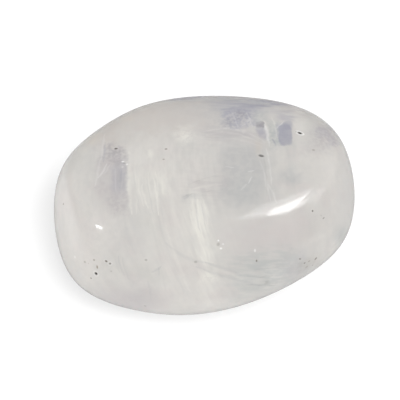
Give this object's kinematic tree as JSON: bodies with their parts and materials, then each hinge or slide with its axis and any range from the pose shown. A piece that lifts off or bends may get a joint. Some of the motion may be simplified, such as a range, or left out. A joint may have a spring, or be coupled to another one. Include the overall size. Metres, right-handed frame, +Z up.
{
  "type": "rainbow moonstone gemstone",
  "caption": "Tumbled and polished rainbow moonstone pebble: milky, rounded, with broad worn faces, soft rims and a small flat spot to rest on.",
  "frame": {"origin": "on the resting surface, under the middle of the stone's box", "axes": "+Z up; +X along the stone's long way; +Y away from the side that the picture looks from"},
  "size_m": [0.038, 0.0304, 0.0197],
  "materials": {
    "moonstone": "milky translucent feldspar with blue-grey cleavage windows, cream fibres and tiny dark specks, polished to a gloss"
  },
  "bodies": {
    "root": {"moonstone": "moonstone"}
  },
  "joints": []
}
